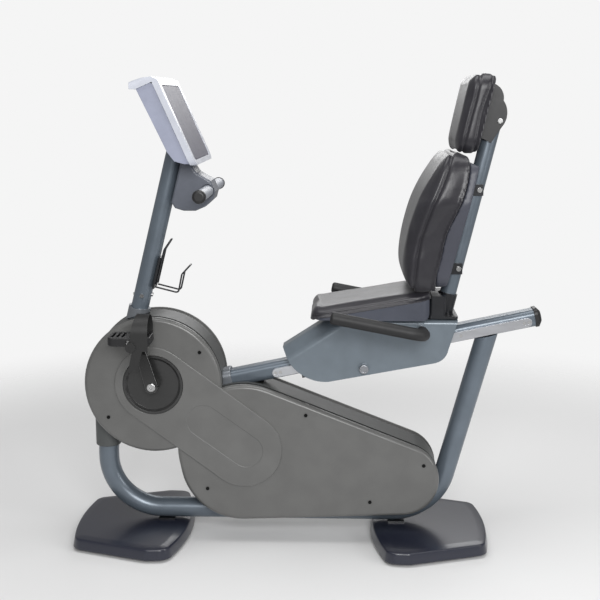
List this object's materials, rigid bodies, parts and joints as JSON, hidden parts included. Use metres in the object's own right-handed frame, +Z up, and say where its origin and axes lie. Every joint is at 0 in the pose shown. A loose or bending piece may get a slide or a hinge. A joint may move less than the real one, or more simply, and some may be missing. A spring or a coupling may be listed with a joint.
{
  "type": "recumbent exercise bike",
  "caption": "Recumbent exercise bike with an enclosed belt drive, strapped pedals, a leaning console and a padded seat that slides on a sloping rail.",
  "frame": {"origin": "on the floor, under the middle of the bounding box with the seat at its stored position", "axes": "+X from the console end to the seat end, +Z up, -Y the rider's left"},
  "size_m": [1.4524, 0.5398, 1.4435],
  "materials": {
    "frame_paint": "satin",
    "mast_paint": "satin",
    "carriage_paint": "satin",
    "casing_grey": "satin",
    "belt_cover_grey": "satin",
    "band_grey": "satin",
    "foot_plastic": "gloss",
    "pad_rubber": "matte",
    "boot_rubber": "matte",
    "collar_grey": "satin",
    "black_steel": "satin",
    "crank_black": "gloss",
    "disc_black": "gloss",
    "black_plastic": "matte",
    "strap_black": "matte",
    "bright_aluminium": "satin",
    "bright_steel": "polished",
    "zinc_steel": "satin",
    "iron": "matte",
    "belt_rubber": "matte",
    "copper_coil": "satin",
    "console_blue": "satin",
    "console_silver": "gloss",
    "console_screen": "gloss",
    "neck_plastic": "satin",
    "bar_grip": "satin",
    "foam_grip": "matte",
    "vinyl": "satin",
    "shell_plastic": "satin",
    "pan_plastic": "satin",
    "glide_nylon": "matte",
    "knob_metal": "satin"
  },
  "bodies": {
    "frame": {"front_frame_tube": "frame_paint", "base_tube": "frame_paint", "rear_frame_tube": "frame_paint", "front_foot_cover": "foot_plastic", "rear_foot_cover": "foot_plastic", "cross_beams": "black_steel", "levelling_feet": "pad_rubber", "mast_tube": "mast_paint", "mast_collar": "collar_grey", "front_tube_boot": "boot_rubber", "rail_beam": "frame_paint", "beam_end_cap": "black_plastic", "beam_collar": "collar_grey", "guide_rails": "bright_aluminium", "lock_bar": "zinc_steel", "left_cover": "casing_grey", "right_cover": "casing_grey", "casing_band": "band_grey", "belt_covers": "belt_cover_grey", "drive_frame": "zinc_steel", "bearings": "bright_steel", "drive_belts": "belt_rubber", "brake_coil": "copper_coil", "console_shell": "console_blue", "console_trim": "console_silver", "console_face": "console_screen", "neck_housing": "neck_plastic", "handlebar_tube": "black_plastic", "handlebar_grips": "bar_grip", "bottle_cage": "black_steel", "frame_screws": "bright_steel"},
    "crankset": {"crank_axle": "bright_steel", "drive_pulley": "bright_aluminium", "crank_arms": "crank_black", "crank_discs": "disc_black", "pedal_spindles": "bright_steel"},
    "pedal_left": {"left_pedal": "black_plastic", "left_pedal_strap": "strap_black"},
    "pedal_right": {"right_pedal": "black_plastic", "right_pedal_strap": "strap_black"},
    "step_up": {"step_up_shaft": "bright_aluminium"},
    "flywheel_unit": {"flywheel": "iron", "flywheel_shaft": "zinc_steel"},
    "seat_carriage": {"carriage_side_plates": "carriage_paint", "carriage_hood": "carriage_paint", "glide_blocks": "glide_nylon", "seat_pan": "pan_plastic", "seat_cushion": "vinyl", "seat_post_bracket": "black_steel", "seat_post": "mast_paint", "backrest_cushion": "vinyl", "backrest_shell": "shell_plastic", "backrest_brackets": "black_steel", "seat_bolts": "bright_steel", "head_cushion": "vinyl", "head_bracket": "black_plastic", "handle_tube": "bright_steel", "handle_grips": "foam_grip"},
    "lock_pin": {"lock_knob": "knob_metal"}
  },
  "joints": [
    {"name": "crank_spin", "type": "hinge", "parent": "frame", "child": "crankset", "pos_m": [-0.461, 0, 0.511], "axis": [0, 1, 0], "continuous": true},
    {"name": "left_pedal_spin", "type": "hinge", "parent": "crankset", "child": "pedal_left", "pos_m": [-0.50643, -0.188, 0.67482], "axis": [0, 1, 0], "continuous": true},
    {"name": "right_pedal_spin", "type": "hinge", "parent": "crankset", "child": "pedal_right", "pos_m": [-0.41557, 0.188, 0.34718], "axis": [0, 1, 0], "continuous": true},
    {"name": "step_up_spin", "type": "hinge", "parent": "frame", "child": "step_up", "pos_m": [-0.184, 0, 0.306], "axis": [0, 1, 0], "continuous": true},
    {"name": "flywheel_spin", "type": "hinge", "parent": "frame", "child": "flywheel_unit", "pos_m": [0.12, 0, 0.25], "axis": [0, 1, 0], "continuous": true},
    {"name": "seat_slide", "type": "slide", "parent": "frame", "child": "seat_carriage", "axis": [0.9776, 0, 0.2106], "range_m": [-0.07, 0.24]},
    {"name": "lock_pin_pull", "type": "slide", "parent": "seat_carriage", "child": "lock_pin", "axis": [0, -1, 0], "range_m": [0, 0.012], "stiffness_N_per_m": 800, "springref_m": -0.005}
  ],
  "couplings": [
    {"joint": "step_up_spin", "follows": "crank_spin", "ratio": 4},
    {"joint": "flywheel_spin", "follows": "crank_spin", "ratio": 12}
  ]
}
